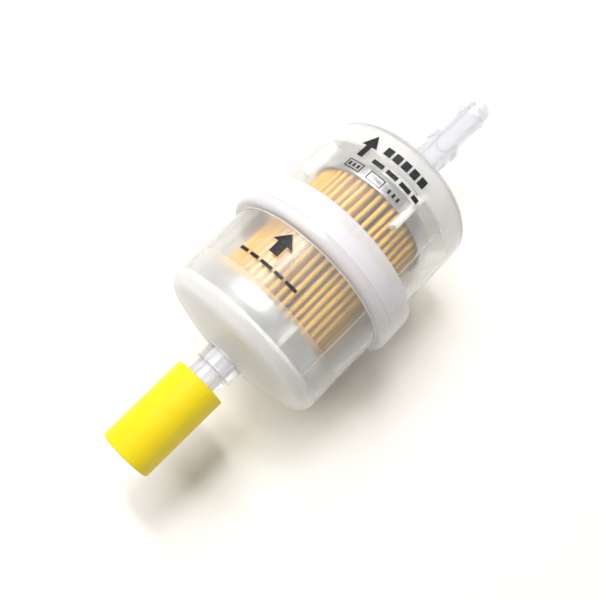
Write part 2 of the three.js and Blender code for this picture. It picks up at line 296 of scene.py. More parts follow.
class Surface:
    """A material with short ways to build its node tree. Textures run in row-frame millimetres."""

    def __init__(self, name):
        self.material = bpy.data.materials.new(name)
        self.material.use_nodes = True
        self.tree = self.material.node_tree
        self.shader = self.tree.nodes["Principled BSDF"]
        place = self.add("TexCoord").outputs["Object"]
        self.place = self.add("VectorMath", {0: place, 1: (1 / MM,) * 3}, operation="MULTIPLY").outputs[0]
        self.normal = None

    def add(self, kind, inputs=None, **settings):
        node = self.tree.nodes.new("ShaderNode" + kind)
        for key, value in settings.items():
            setattr(node, key, value)
        for key, value in (inputs or {}).items():
            self.feed(node.inputs[key], value)
        return node

    def feed(self, socket, value):
        if isinstance(value, bpy.types.NodeSocket):
            self.tree.links.new(value, socket)
        else:
            socket.default_value = value

    def maths(self, operation, a, b=0.0):
        return self.add("Math", {0: a, 1: b}, operation=operation).outputs[0]

    def around_axis(self):
        """Coordinates along X, round the axis and outwards from it, in millimetres."""
        parts = self.add("SeparateXYZ", {0: self.place}).outputs
        radius = self.maths("SQRT", self.maths("ADD", self.maths("MULTIPLY", parts[1], parts[1]),
                                               self.maths("MULTIPLY", parts[2], parts[2])))
        angle = self.maths("MULTIPLY", self.maths("ARCTAN2", parts[2], parts[1]), 20.0)
        return self.add("CombineXYZ", {0: parts[0], 1: angle, 2: radius}).outputs[0]

    def noise(self, size, detail=2.0, place=None, stretch=(1, 1, 1), roughness=0.5):
        """Noise with features of about a size in millimetres, stretched along the given axes."""
        scale = tuple(1 / (size * s) for s in stretch)
        where = self.add("Mapping", {"Vector": place or self.place, "Scale": scale}).outputs[0]
        return self.add("TexNoise", {"Vector": where, "Scale": 1.0, "Detail": detail,
                                     "Roughness": roughness}).outputs["Fac"]

    def ramp(self, value, *stops):
        """Colours at positions from 0 to 1."""
        node = self.add("ValToRGB", {0: value})
        stack = node.color_ramp.elements
        while len(stack) < len(stops):
            stack.new(0.5)
        for element, (position, color) in zip(stack, stops):
            element.position = position
            element.color = (*color, 1) if len(color) == 3 else color
        return node.outputs["Color"]

    def between(self, value, low, high, from_low=0.3, from_high=0.7):
        node = self.add("MapRange", {0: value, 1: from_low, 2: from_high, 3: low, 4: high})
        return node.outputs[0]

    def bump(self, height, depth, strength=1.0):
        """Adds relief of a depth in millimetres."""
        inputs = {"Height": height, "Distance": depth * MM, "Strength": strength}
        if self.normal:
            inputs["Normal"] = self.normal
        self.normal = self.add("Bump", inputs).outputs[0]

    def done(self, **values):
        """Sets the shader's sockets by name, and gives back the material."""
        for name, value in values.items():
            self.feed(self.shader.inputs[name.replace("_", " ").title().replace("Ior", "IOR")], value)
        if self.normal:
            self.feed(self.shader.inputs["Normal"], self.normal)
        return self.material


def lets_lamps_through(surface, tint):
    """Shadow rays pass the shader, tinted, so that lamps reach what is inside."""
    clear = surface.add("BsdfTransparent", {0: (*tint, 1)}).outputs[0]
    shadow = surface.add("LightPath").outputs["Is Shadow Ray"]
    mixed = surface.add("MixShader", {0: shadow, 1: surface.shader.outputs[0], 2: clear}).outputs[0]
    surface.feed(surface.tree.nodes["Material Output"].inputs["Surface"], mixed)


NYLON_TINT = (0.925, 0.925, 0.915)
LAMP_TINT = (1.0, 0.985, 0.945)  # colour of the light that gets through thick nylon
LAMP_SHARE = 0.83  # how much light one surface of clear nylon lets through to what is inside
LAMP_LOSS = 0.12  # how much less a milky one does


def nylon(name, milk, roughness, wear=0.05, lines=0.0, tint=NYLON_TINT, relief=0.004):
    """Natural nylon: clear, with a share of milky haze, and handling wear on its gloss.
    Its relief is turned lines where they are asked for, and fine flow marks elsewhere."""
    surface = Surface(name)
    ring = surface.around_axis()
    cloud = surface.noise(9, 3)
    flow = surface.noise(1.1, 4, ring, (6, 1, 1))
    scuff = surface.noise(0.35, 3, ring, (1, 5, 1), 0.7)
    if lines:
        surface.bump(surface.noise(0.22, 2, ring, (1, 60, 1)), lines)
    else:
        surface.bump(flow, relief)
    haze = surface.ramp(cloud, (0.3, tuple(c * 0.97 for c in tint)), (0.7, tint))
    rough = surface.between(scuff, roughness, roughness + wear, 0.45, 0.75)
    surface.done(base_color=haze, roughness=rough, transmission_weight=1 - milk, ior=1.5)
    lets_lamps_through(surface, tuple((LAMP_SHARE - LAMP_LOSS * milk) * c for c in LAMP_TINT))
    return surface.material


def paper():
    """Tan resin-dipped filter paper: long fibres, crepe lines and darker resin blotches."""
    surface = Surface("filter_paper_fibre")
    ring = surface.around_axis()
    fibre = surface.noise(0.25, 5, surface.place, (7, 1, 1), 0.65)
    crepe = surface.noise(0.5, 3, ring, (0.5, 4, 1))
    blotch = surface.noise(5, 3)
    shade = surface.add("Mix", {0: 0.4, 2: fibre, 3: blotch}, data_type="FLOAT").outputs[0]
    color = surface.ramp(shade, (0.25, (0.57, 0.315, 0.04)), (0.5, (0.69, 0.415, 0.064)),
                         (0.75, (0.79, 0.52, 0.10)))
    surface.bump(fibre, 0.035)
    surface.bump(crepe, 0.03)
    return surface.done(base_color=color, roughness=surface.between(fibre, 0.75, 0.95),
                        specular_ior_level=0.25)


def tinplate():
    """Bright pressed sheet with turned rolling marks and a little tarnish."""
    surface = Surface("tinplate_sheet")
    ring = surface.around_axis()
    rolled = surface.noise(0.15, 3, ring, (1, 40, 1), 0.6)
    tarnish = surface.noise(4, 4)
    color = surface.ramp(tarnish, (0.3, (0.60, 0.62, 0.66)), (0.7, (0.74, 0.75, 0.78)))
    surface.bump(rolled, 0.004)
    return surface.done(base_color=color, metallic=1.0, roughness=surface.between(rolled, 0.3, 0.44))


def resin():
    """Cast potting resin with a slow ripple and small bubbles."""
    surface = Surface("potting_resin_cast")
    ripple = surface.noise(2.5, 3)
    bubbles = surface.add("TexVoronoi", {"Vector": surface.place, "Scale": 1.3}).outputs["Distance"]
    color = surface.ramp(ripple, (0.3, (0.60, 0.54, 0.42)), (0.7, (0.76, 0.71, 0.58)))
    surface.bump(ripple, 0.15)
    surface.bump(bubbles, 0.05)
    return surface.done(base_color=color, roughness=surface.between(ripple, 0.35, 0.6))


def rubber():
    """Black moulded rubber with a dusty bloom."""
    surface = Surface("seal_rubber_moulded")
    grain = surface.noise(0.2, 4)
    bloom = surface.noise(3, 3)
    color = surface.ramp(bloom, (0.35, (0.012, 0.013, 0.015)), (0.75, (0.035, 0.036, 0.04)))
    surface.bump(grain, 0.03)
    return surface.done(base_color=color, roughness=surface.between(grain, 0.6, 0.85))


def polythene():
    """Yellow polythene with a fine moulded grain and flow streaks along the draw."""
    surface = Surface("yellow_polythene_satin")
    ring = surface.around_axis()
    grain = surface.noise(0.28, 3)
    streak = surface.noise(0.9, 3, ring, (14, 1, 1))
    cloud = surface.noise(5, 2)
    tone = surface.add("Mix", {0: 0.5, 2: streak, 3: cloud}, data_type="FLOAT").outputs[0]
    color = surface.ramp(tone, (0.3, (0.90, 0.675, 0.010)), (0.7, (0.95, 0.755, 0.016)))
    surface.bump(cloud, 0.08)
    surface.bump(grain, 0.04)
    surface.bump(streak, 0.02)
    return surface.done(base_color=color, roughness=surface.between(grain, 0.36, 0.52),
                        subsurface_weight=0.12, subsurface_radius=(0.004, 0.0025, 0.0004),
                        specular_ior_level=0.42)


def ink():
    """Black pad-printed ink, thin and mottled where it has rubbed."""
    surface = Surface("printing_ink")
    ring = surface.around_axis()
    rub = surface.noise(0.3, 4, ring, (1, 2.5, 1), 0.7)
    color = surface.ramp(rub, (0.0, (0.014, 0.013, 0.016)), (0.58, (0.02, 0.019, 0.022)),
                         (0.72, (0.16, 0.155, 0.16)))
    surface.bump(rub, 0.01)
    return surface.done(base_color=color, roughness=surface.between(rub, 0.3, 0.6))


CLEAR = nylon("nylon_clear", 0.08, 0.035, 0.02)
INSIDE_INLET = nylon("nylon_inside_inlet", 0.12, 0.2)
INSIDE_OUTLET = nylon("nylon_inside_outlet", 0.1, 0.13)
END = nylon("nylon_end", 0.45, 0.28, 0.08, tint=(0.985, 0.98, 0.955))
HAZY = nylon("nylon_hazy", 0.32, 0.09, 0.02, tint=(0.98, 0.98, 0.975))
MISTY = nylon("nylon_misty", 0.26, 0.34)
BANDED = nylon("nylon_band", 0.8, 0.26, 0.02, 0.003, (0.86, 0.85, 0.875))
SPIGOT = nylon("nylon_spigot", 0.2, 0.14, tint=(0.87, 0.875, 0.915), relief=0.0006)
RIB = nylon("nylon_rib", 0.8, 0.25)
NYLONS = (CLEAR, INSIDE_INLET, INSIDE_OUTLET, END, HAZY, MISTY, BANDED, SPIGOT, RIB)
PAPER = paper()
TIN = tinplate()
RESIN = resin()
RUBBER = rubber()
YELLOW = polythene()
INK = ink()

# ---- Housing ----


def corner_reach(wall_radius, dome, corner):
    """How far along X a corner's centre lies from the centre of its dome."""
    return math.sqrt((dome - corner) ** 2 - (wall_radius - corner) ** 2)


def bowl_end(from_radius, wall_radius, depth, dome, corner):
    """A domed end and its round corner, from a radius out to the wall. Its middle is at depth on +X."""
    corner_radius = wall_radius - corner
    reach = corner_reach(wall_radius, dome, corner)
    meet = math.degrees(math.atan2(corner_radius, reach))
    first = math.degrees(math.asin(from_radius / dome))
    centre = depth - dome
    return (arc(centre, 0, dome, first, meet, 8)[:-1]
            + arc(centre + reach, corner_radius, corner, meet, 90, 10))


def spigot(tip, depth, boss_end):
    """The outside of a spigot along +X, from its tip back to its boss."""
    stem_end = tip - HOSE_END
    barb = tip - BARB_FROM_TIP
    flare = STEM_FLARE * (stem_end - boss_end)
    bead = min(BEAD_LENGTH, 0.8 * flare)
    return [
        (tip, BORE, 0.2),
        (tip, HOSE_TIP, 0.35),
        (barb + BARB_RAMP, HOSE, 1.0),
        (barb, BARB, 0.5),
        (barb - BARB_RAMP, HOSE, 1.0),
        (stem_end, HOSE, 0.25),
        (stem_end, BEAD, 0.9),
        (stem_end - bead, BEAD, 2.0),
        (stem_end - flare, STEM, 2.5),
        (boss_end, STEM, 0.3),
        (boss_end, BOSS, 0.4),
        (depth - MOAT_DEPTH, BOSS, 0.25),
        (depth - MOAT_DEPTH, BOSS + MOAT_WIDTH, 0.15),
    ]


def mirrored(points):
    return [(-p[0], *p[1:]) for p in points]


def painted(piece, choose):
    """Gives a bowl the nylons, and each face the one that choose(x, r, outward, degrees) names."""
    for material in NYLONS:
        piece.data.materials.append(material)
    for face in piece.data.polygons:
        x, y, z = (c / MM for c in face.center)
        outward = face.normal.dot(face.center) > 0
        degrees = math.degrees(math.atan2(z, y)) % 180
        face.material_index = NYLONS.index(choose(x, math.hypot(y, z), outward, degrees))


def placed(piece, node, material=None, body="filter"):
    """Puts a piece in a CAD node's stead."""
    if material:
        piece.data.materials.append(material)
    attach(piece, body)
    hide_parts(node)
    return piece


def split_line(first_x, last_x, least_radius):
    """A raised mould parting line along the outside of a bowl's wall."""
    def shift(x, r, degrees):
        on_line = min(abs(degrees - a) for a in (SPLIT_ANGLE, SPLIT_ANGLE + 180)) < 1e-6
        return SPLIT_RISE if on_line and first_x < x < last_x and r > least_radius else 0
    return shift


def on_split_line(degrees):
    return abs(degrees - SPLIT_ANGLE) < 0.3


SPLIT_EDGES = [SPLIT_ANGLE + half + side for half in (0, 180) for side in (-0.35, 0, 0.35)]


def inlet_wall(x):
    """The inlet bowl's outside radius along its drafted wall."""
    start = INLET_DOME - INLET_DEPTH - corner_reach(INLET_RADIUS, INLET_DOME, INLET_CORNER)
    return INLET_RADIUS + INLET_DRAFT * (x - start) / (BAND_START - FLANGE_WIDTH - start)


def inlet_bowl():
    mouth = INLET_RADIUS + INLET_DRAFT
    flange_start = BAND_START - FLANGE_WIDTH
    face = BAND_START
    tongue_inner = mouth - TONGUE_WALL
    outside = bowl_end(BOSS + MOAT_WIDTH, INLET_RADIUS, INLET_DEPTH, INLET_DOME, INLET_CORNER)
    inner = (INLET_RADIUS - WALL, INLET_DEPTH - WALL, INLET_DOME - WALL, INLET_CORNER - WALL)
    inside = bowl_end(BORE + 0.5, *inner)
    bore_end = (INLET_DEPTH - WALL, BORE, 0.4)
    root = spigot(-INLET_TIP, INLET_DEPTH, INLET_DEPTH + BOSS_LENGTH)
    profile = filleted([
        *mirrored([*root, *outside]),
        (INLET_HAZE_END, inlet_wall(INLET_HAZE_END)),
        (flange_start, mouth, 0.35),
        (flange_start, BAND_RADIUS - 1.8),
        *arc(flange_start + 1.8, BAND_RADIUS - 1.8, 1.8, 180, 90, 6)[1:],
        (face - JOINT_CHAMFER, BAND_RADIUS),
        (face, BAND_RADIUS - JOINT_CHAMFER),
        (face, mouth, 0.15),
        (TONGUE_END, mouth, 0.2),
        (TONGUE_END, tongue_inner, 0.2),
        (flange_start, tongue_inner, 1.0),
        (INLET_HAZE_END, inlet_wall(INLET_HAZE_END) - WALL),
        *mirrored(inside[::-1]),
        (-bore_end[0], bore_end[1], 0.4),
    ])
    line = split_line(INLET_SPLIT_START, flange_start - 1, INLET_RADIUS - SPLIT_SLACK)
    body = turned_mesh(profile, ring_angles(SPLIT_EDGES), line)
    foot = INLET_CAP_START - RIB_FOOT
    back = INLET_RADIUS - WALL - RIB_SINK
    outer, step = END_CAP_RADIUS + FIT, INLET_CAP_START - FIT
    outline = [
        (foot, END_CAP_RADIUS - RIB_LEDGE), (step, END_CAP_RADIUS - RIB_LEDGE), (step, outer),
        (INLET_CAP_START + INLET_RIB_LAP, outer), (INLET_CAP_START + INLET_RIB_LAP, back), (foot, back),
    ]
    ribs = [rib_mesh(outline, RIB_WIDTH, angle) for angle in around(RIB_COUNT, RIB_ANGLE)]
    piece = finished("inlet_bowl_shell", *joined(body, *ribs))
    corner_start = -INLET_DEPTH + INLET_CORNER + 1.5

    def choose(x, r, outward, degrees):
        if x < -INLET_DEPTH - 0.5 or r < BORE + 0.3:
            return SPIGOT
        if x > flange_start - 0.5 and r > mouth - 0.2:
            return BANDED
        if x < corner_start and (outward or r < back - 1):
            return END
        if outward:
            # The parting line's faces take the milky band nylon so that they show as a thin white line: a
            # painted highlight on a real ridge.
            return BANDED if on_split_line(degrees) and x > corner_start else CLEAR
        if x > foot - 0.1 and r < back + RIB_SINK / 2:
            return RIB
        return MISTY if x < INLET_HAZE_END else INSIDE_INLET

    painted(piece, choose)
    return placed(piece, "inlet_bowl")


def outlet_wall(x):
    """The outlet bowl's outside radius along its drafted wall."""
    run = OUTLET_DEPTH - OUTLET_CORNER - BAND_HALF
    return OUTLET_RADIUS + OUTLET_DRAFT * (1 - (x - BAND_HALF) / run)


def outlet_bowl():
    mouth = INLET_RADIUS + INLET_DRAFT + FIT
    face = BAND_START + JOINT_GAP
    pocket_end = WELD_END + FIT
    pocket_inner = WELD_RADIUS - 0.7
    wall_start = OUTLET_RADIUS + OUTLET_DRAFT
    inside_depth = OUTLET_DEPTH - WALL
    outside = bowl_end(BOSS + MOAT_WIDTH, OUTLET_RADIUS, OUTLET_DEPTH, OUTLET_DOME, OUTLET_CORNER)
    inner = (OUTLET_RADIUS - WALL, inside_depth, OUTLET_DOME - WALL, OUTLET_CORNER - WALL)
    inside = bowl_end(NOZZLE_BOSS + 0.4, *inner)
    nozzle_tip = OUTLET_CAP_END - NOZZLE_REACH
    root = spigot(OUTLET_TIP, OUTLET_DEPTH, OUTLET_DEPTH + BOSS_LENGTH)
    profile = filleted([
        (face, mouth, 0.1),
        (face, pocket_inner, 0.1),
        (pocket_end, pocket_inner, 0.1),
        (pocket_end, WELD_RADIUS + FIT, 0.1),
        (face, WELD_RADIUS + FIT, 0.1),
        (face, BAND_RADIUS, JOINT_CHAMFER),
        (BAND_HALF, BAND_RADIUS, 0.5),
        (BAND_HALF, wall_start, 0.45),
        (HAZE_START, outlet_wall(HAZE_START)),
        *outside[::-1],
        *root[::-1],
        (nozzle_tip, BORE, 0.3),
        (nozzle_tip, NOZZLE, 0.4),
        (SEAL_END, NOZZLE, 0.3),
        (SEAL_END, NOZZLE_BOSS, 0.4),
        (inside_depth, NOZZLE_BOSS, 0.5),
        *inside,
        (HAZE_START, outlet_wall(HAZE_START) - WALL),
        (TONGUE_END + FIT, OUTLET_RADIUS + OUTLET_DRAFT - WALL, 0.3),
        (TONGUE_END + FIT, mouth, 0.2),
    ])
    line = split_line(OUTLET_SPLIT_START, OUTLET_SPLIT_END, OUTLET_RADIUS - SPLIT_SLACK)
    body = turned_mesh(profile, ring_angles(SPLIT_EDGES), line)
    back = OUTLET_RADIUS - WALL - RIB_SINK
    rib_end = OUTLET_CAP_END + RIB_FOOT
    outline = block(OUTLET_CAP_END - OUTLET_RIB_LAP, rib_end, END_CAP_RADIUS + FIT, back)
    ribs = [rib_mesh(outline, RIB_WIDTH, angle) for angle in around(RIB_COUNT, RIB_ANGLE)]
    piece = finished("outlet_bowl_shell", *joined(body, *ribs))

    def choose(x, r, outward, degrees):
        if x > OUTLET_DEPTH + 0.5 or r < BORE + 0.3:
            return SPIGOT
        if x < BAND_HALF + 0.3:
            return BANDED
        if x > OUTLET_DEPTH - WALL - 0.5:
            return END
        if x > HAZE_START:
            return HAZY
        if r < NOZZLE_BOSS + 1:
            return INSIDE_OUTLET
        if x < rib_end + 0.1 and r < back + RIB_SINK / 2:
            return RIB
        if outward:
            # The parting line's faces take the milky band nylon so that they show as a thin white line: a
            # painted highlight on a real ridge.
            return BANDED if on_split_line(degrees) else CLEAR
        return INSIDE_OUTLET

    painted(piece, choose)
    return placed(piece, "outlet_bowl")


def weld_ring():
    """The melted ring between the flange and the band, with a rounded crown."""
    inner = WELD_RADIUS - 0.4
    profile = filleted([
        (WELD_START + JOINT_GAP, inner, 0.05),
        (WELD_START + JOINT_GAP, WELD_RADIUS, 0.05),
        (WELD_END, WELD_RADIUS, 0.2),
        (WELD_END, inner, 0.2),
    ])
    piece = finished("weld_bead", *turned_mesh(profile))
    return placed(piece, "weld_ring", BANDED)


# ---- Filter element ----


def inlet_end_cap():
    start, rim = INLET_CAP_START, INLET_CAP_END
    outer, inner = END_CAP_RADIUS, END_CAP_RADIUS - SHEET
    profile = filleted([
        (start + 0.25, 0),
        (start + 0.25, outer * 0.55, 1.0),
        (start, outer * 0.62, 1.0),
        (start, outer, CAP_BEND),
        (rim, outer, 0.2),
        (rim, inner, 0.2),
        (start + SHEET, inner, CAP_BEND - SHEET),
        (start + SHEET, 0),
    ], closed=False)
    piece = finished("inlet_end_cap_pressing", *turned_mesh(profile))
    return placed(piece, "inlet_end_cap", TIN)


def outlet_end_cap():
    start, end = OUTLET_CAP_START, OUTLET_CAP_END
    outer, inner = END_CAP_RADIUS, END_CAP_RADIUS - SHEET
    neck_end = end - NECK_LENGTH
    profile = filleted([
        (end - SHEET, inner, CAP_BEND - SHEET),
        (start, inner, 0.2),
        (start, outer, 0.2),
        (end, outer, CAP_BEND),
        (end, CAP_NECK - SHEET, 0.7),
        (neck_end, CAP_NECK - SHEET, 0.15),
        (neck_end, CAP_NECK, 0.15),
        (end - SHEET, CAP_NECK, 0.3),
    ])
    piece = finished("outlet_end_cap_pressing", *turned_mesh(profile))
    return placed(piece, "outlet_end_cap", TIN)


def potting(name, node, start, end, inner):
    """A disc of cast resin with a soft edge, solid or with a hole."""
    rim = [(start, POT_RADIUS, 0.25), (end, POT_RADIUS, 0.25)]
    if inner:
        profile = filleted([(start, inner, 0.2), *rim, (end, inner, 0.2)])
    else:
        profile = filleted([(start, 0), *rim, (end, 0)], closed=False)
    piece = finished(name, *turned_mesh(profile))
    return placed(piece, node, RESIN)


def pleated_paper():
    """The folded sheet: round crests of uneven width and height, straight flanks and tight roots."""
    pitch = 2 * math.pi / PLEATS
    clipped = round(PLEATS * 3 / 4)
    half_crest = (PAPER_RADIUS * pitch - CREST_OPEN) / 2
    crests = []
    for i in range(PLEATS):
        free = i != clipped
        crests.append({
            "angle": i * pitch + free * draws.uniform(-0.9, 0.9) * math.radians(1),
            "half": half_crest - free * draws.uniform(0, 0.14),
            "drop": free * draws.uniform(0.05, 0.45),
            "sway": free * draws.uniform(0.2, 0.7) * math.radians(1),
            "phase": draws.uniform(0, 2 * math.pi),
        })
    stations = 22
    arc_steps = 8
    verts, loops = [], []
    for s in range(stations + 1):
        t = s / stations
        x = PAPER_START + (PAPER_END - PAPER_START) * t
        swell = math.sin(math.pi * t) ** 0.5
        outer, inner = [], []
        placed_crests = []
        for c in crests:
            sway = c["sway"] * swell * math.sin(2.2 * math.pi * t + c["phase"])
            top = PAPER_RADIUS - c["drop"] * (0.6 + 0.4 * math.sin(5 * t + c["phase"]))
            placed_crests.append((c["angle"] + sway, top, c["half"]))
        for i, (angle, top, half) in enumerate(placed_crests):
            after = placed_crests[(i + 1) % PLEATS][0] + (2 * math.pi if i == PLEATS - 1 else 0)
            groove = (angle + after) / 2
            for step in range(arc_steps + 1):
                turn = math.pi * (step / arc_steps - 0.5)
                side, lift = math.sin(turn), math.cos(turn)
                r = top - half + half * lift
                outer.append((r, angle + half * side / r))
                r = top - half + (half - PAPER_SHEET) * lift
                inner.append((r, angle + (half - PAPER_SHEET) * side / r))
            fold = PAPER_ROOT + PAPER_SHEET
            outer.append((fold + 0.35, groove - GROOVE / fold))
            outer.append((fold, groove - GROOVE / 4 / fold))
            outer.append((fold, groove + GROOVE / 4 / fold))
            outer.append((fold + 0.35, groove + GROOVE / fold))
            wide = min(GROOVE / 2 + PAPER_SHEET, 0.45 * pitch * PAPER_ROOT) / PAPER_ROOT
            inner.append((PAPER_ROOT + 0.3, groove - wide))
            inner.append((PAPER_ROOT, groove - wide * 0.6))
            inner.append((PAPER_ROOT, groove + wide * 0.6))
            inner.append((PAPER_ROOT + 0.3, groove + wide))
        for loop in (outer, inner):
            loops.append(range(len(verts), len(verts) + len(loop)))
            verts += [(x, r * math.cos(a), r * math.sin(a)) for r, a in loop]
    faces = []
    count = len(loops[0])
    pairs = [(loops[i], loops[i + 2]) for i in range(len(loops) - 2)]
    pairs += [(loops[0], loops[1]), (loops[-2], loops[-1])]
    for one, other in pairs:
        for k in range(count):
            n = (k + 1) % count
            faces.append([one[k], one[n], other[n], other[k]])
    piece = finished("pleated_paper_pack", verts, faces, sharp=50)
    return placed(piece, "pleated_paper", PAPER)


def seam_clip():
    """The channel that closes the paper's seam, with rounded bends."""
    crest = round(PLEATS * 3 / 4) * 2 * math.pi / PLEATS
    half_gap = (PAPER_RADIUS * 2 * math.pi / PLEATS - CLIPPED_CREST_OPEN) / 2 + CLIP_GAP
    half = half_gap + CLIP_WALL
    inside = PAPER_RADIUS + CLIP_GAP
    outside, legs = inside + CLIP_WALL, inside - CLIP_DEPTH
    outline = filleted([
        (-half, legs), (-half, outside, 0.35), (half, outside, 0.35), (half, legs),
        (half_gap, legs), (half_gap, inside, 0.15), (-half_gap, inside, 0.15), (-half_gap, legs),
    ])
    verts = []
    for x in (CLIP_START, CLIP_END):
        for side, r in outline:
            a = crest + side / r
            verts.append((x, r * math.cos(a), r * math.sin(a)))
    count = len(outline)
    faces = [[k, (k + 1) % count, (k + 1) % count + count, k + count] for k in range(count)]
    faces += [list(range(count)), list(range(count, 2 * count))]
    piece = finished("seam_clip_channel", verts, faces)
    return placed(piece, "seam_clip", TIN)


def support_tube():
    """A rolled tube with staggered rows of round holes. Each hole sits in a cell of the wall."""
    rows, holes, hole = 6, 8, 1.2
    outer, inner = TUBE_RADIUS, TUBE_RADIUS - SHEET
    length = PAPER_END - PAPER_START
    row_pitch = length / (rows + 1)
    edge = 8
    cell_turn = 2 * math.pi / holes
    verts, faces = [], []

    def point(x, a, r):
        verts.append((x, r * math.cos(a), r * math.sin(a)))
        return len(verts) - 1

    def cell(x0, x1, a0):
        """One pierced cell of the wall, from x0 to x1, one hole pitch wide."""
        border = [(x0, a0 + cell_turn * k / edge) for k in range(edge)]
        border += [(x0 + (x1 - x0) * k / edge, a0 + cell_turn) for k in range(edge)]
        border += [(x1, a0 + cell_turn * (1 - k / edge)) for k in range(edge)]
        border += [(x1 - (x1 - x0) * k / edge, a0) for k in range(edge)]
        middle_x, middle_a = (x0 + x1) / 2, a0 + cell_turn / 2
        rings = []
        for r in (outer, inner):
            rings.append([point(x, a, r) for x, a in border])
            rim = []
            for x, a in border:
                across, along = (a - middle_a) * outer, x - middle_x
                size = math.hypot(across, along)
                rim.append(point(middle_x + hole * along / size, middle_a + hole * across / size / outer, r))
            rings.append(rim)
        total = len(border)
        for one, other in ((0, 1), (2, 3), (1, 3)):
            for k in range(total):
                n = (k + 1) % total
                faces.append([rings[one][k], rings[one][n], rings[other][n], rings[other][k]])

    for row in range(rows):
        for k in range(holes):
            start = (k - 0.5 + row % 2 / 2) * cell_turn
            x = PAPER_START + (row + 0.5) * row_pitch
            cell(x, x + row_pitch, start)
    ends = ((PAPER_START, PAPER_START + 0.5 * row_pitch), (PAPER_END - 0.5 * row_pitch, PAPER_END))
    for x0, x1 in ends:
        for k in range(holes * edge):
            a0, a1 = (cell_turn * (j / edge - 0.5) for j in (k, k + 1))
            quads = []
            for r in (outer, inner):
                quads.append([point(x0, a0, r), point(x0, a1, r), point(x1, a1, r), point(x1, a0, r)])
            faces.extend(quads)
            side = (0, 1) if x0 == PAPER_START else (2, 3)
            faces.append([quads[0][side[0]], quads[0][side[1]], quads[1][side[1]], quads[1][side[0]]])
    piece = finished("support_tube_perforated", verts, faces, sharp=40)
    return placed(piece, "support_tube", TIN)


def outlet_seal():
    """The rubber bush: a flange and a sleeve round the outlet bowl's nozzle."""
    sleeve, bore = SEAL_SLEEVE, NOZZLE + FIT
    profile = filleted([
        (SEAL_START, bore, 0.3),
        (SEAL_START, sleeve, 0.5),
        (OUTLET_CAP_END, sleeve, 0.2),
        (OUTLET_CAP_END, SEAL_FLANGE, 0.4),
        (SEAL_END, SEAL_FLANGE, 0.4),
        (SEAL_END, bore, 0.3),
    ])
    piece = finished("outlet_seal_bush", *turned_mesh(profile))
    return placed(piece, "outlet_seal", RUBBER)


# ---- Transit cap ----


def transit_cap():
    floor = CAP_CLOSED_END + GATE_HEIGHT
    inside = floor + CAP_FLOOR
    bore = CAP_RADIUS - CAP_WALL
    profile = filleted([
        (CAP_CLOSED_END, 0),
        (CAP_CLOSED_END, GATE_RADIUS, 0.15),
        (floor, GATE_RADIUS + 0.1, 0.2),
        (floor + 0.15, GATE_RADIUS + 1.2, 0.3),
        (floor + 0.15, CAP_RADIUS - CAP_TAPER - 1.6, 0.4),
        (floor, CAP_RADIUS - CAP_TAPER - 1.1, 0.4),
        (floor, CAP_RADIUS - CAP_TAPER, 0.75),
        (CAP_RIM, CAP_RADIUS, 0.35),
        (CAP_RIM, bore, 0.3),
        (inside, bore, 0.5),
        (inside, 0),
    ], closed=False)
    body = turned_mesh(profile)
    outline = block(inside + 2, CAP_RIM - 2, bore - 0.6, bore + 0.4)
    ribs = [rib_mesh(outline, 0.9, angle) for angle in around(6)]
    piece = finished("transit_cap_moulding", *joined(body, *ribs))
    return placed(piece, "transit_cap", YELLOW, "cap")


# ---- Printed marks: a flow arrow and plain bars, no lettering ----


def printed(name, marks, wall):
    """Thin ink patches on a bowl's wall. A mark is rows of (x, start, end): degrees round the axis.
    wall(x) is the bowl's radius there."""
    lift, thick = 0.012, 0.03
    verts, faces = [], []
    for rows in marks:
        widest = max(abs(end - start) for _, start, end in rows)
        cells = max(2, round(widest / 1.5))
        layers = []
        for height in (lift, lift + thick):
            layer = []
            for x, start, end in rows:
                line = []
                for k in range(cells + 1):
                    a = math.radians(start + (end - start) * k / cells)
                    r = wall(x) + height
                    line.append(len(verts))
                    verts.append((x, r * math.cos(a), r * math.sin(a)))
                layer.append(line)
            layers.append(layer)
        for layer in layers:
            for one, other in zip(layer, layer[1:]):
                for k in range(cells):
                    faces.append([one[k], one[k + 1], other[k + 1], other[k]])
        low, high = layers
        rims = []
        for layer in (low, high):
            there = layer[0] + [row[-1] for row in layer[1:]]
            rims.append(there + layer[-1][-2::-1] + [row[0] for row in layer[-2:0:-1]])
        for k in range(len(rims[0])):
            n = (k + 1) % len(rims[0])
            faces.append([rims[0][k], rims[0][n], rims[1][n], rims[1][k]])
    piece = finished(name, verts, faces)
    piece.data.materials.append(INK)
    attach(piece, "filter")
    return piece


def bar(x, width, start, end):
    return [(x - width / 2, start, end), (x + width / 2, start, end)]


def box_outline(x, width, start, end, line=0.28):
    """Four bars round a rectangle."""
    turn = math.degrees(line / PRINT_RADIUS)
    low, high = x - width / 2, x + width / 2
    return [bar(low, line, start, end), bar(high, line, start, end),
            bar(x, width, start, start + turn), bar(x, width, end - turn, end)]


def arrow(start_x, length, middle, head, shaft):
    """A flow arrow along +X. head and shaft are half widths in degrees."""
    neck = start_x + length * 0.5
    tail = [(start_x, middle - shaft, middle + shaft), (neck, middle - shaft, middle + shaft)]
    point = [(neck, middle - head, middle + head), (start_x + length, middle - 0.15, middle + 0.15)]
    return [tail, point]


def outlet_print():
    marks = arrow(19.2, 7.6, 75, 5.5, 2.0)
    for start, end in ((85, 90), (91.6, 96.6), (98.2, 103.2), (104.8, 109.8), (111.4, 116.4)):
        marks.append(bar(24.4, 2.5, start, end))
    for start, end in ((84, 92), (94.5, 102.5), (105, 113), (115, 120)):
        marks.append(bar(20.0, 1.3, start, end))
    marks += box_outline(16.3, 2.4, 72, 83)
    marks += box_outline(16.3, 2.4, 88, 99)
    for start in (74.4, 77.4, 80.4, 104, 107.5, 111):
        marks.append(bar(16.3, 1.2, start - 0.8, start + 0.8))
    return printed("outlet_print", marks, outlet_wall)


